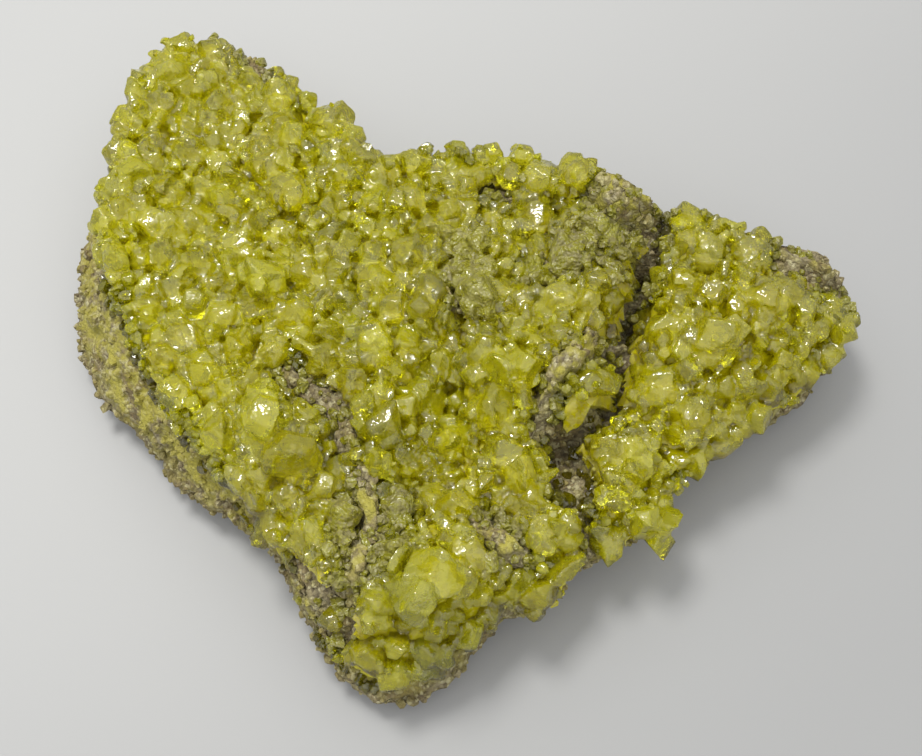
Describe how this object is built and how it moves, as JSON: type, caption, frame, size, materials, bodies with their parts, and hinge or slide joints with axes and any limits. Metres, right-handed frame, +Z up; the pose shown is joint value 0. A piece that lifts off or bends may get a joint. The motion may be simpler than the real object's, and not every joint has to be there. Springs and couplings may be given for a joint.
{
  "type": "native sulfur crystal specimen",
  "caption": "Flat hand specimen of grey-brown rock with a crust of intergrown yellow-green sulfur crystals on top and a flat underside to rest on.",
  "frame": {"origin": "on the flat underside that the specimen rests on, under its middle", "axes": "+Z up out of the crystal side, +X along the specimen's longest side towards its narrow end, +Y towards its broad lobe's tip"},
  "size_m": [0.1687, 0.146, 0.039],
  "materials": {
    "rock": "rough granular grey-brown rock with olive-yellow stains",
    "sulfur": "glossy translucent yellow-green crystal"
  },
  "bodies": {
    "root": {"rock_matrix": "rock", "main_crust": "sulfur", "east_crust": "sulfur", "ridge_crystals": "sulfur"}
  },
  "joints": []
}
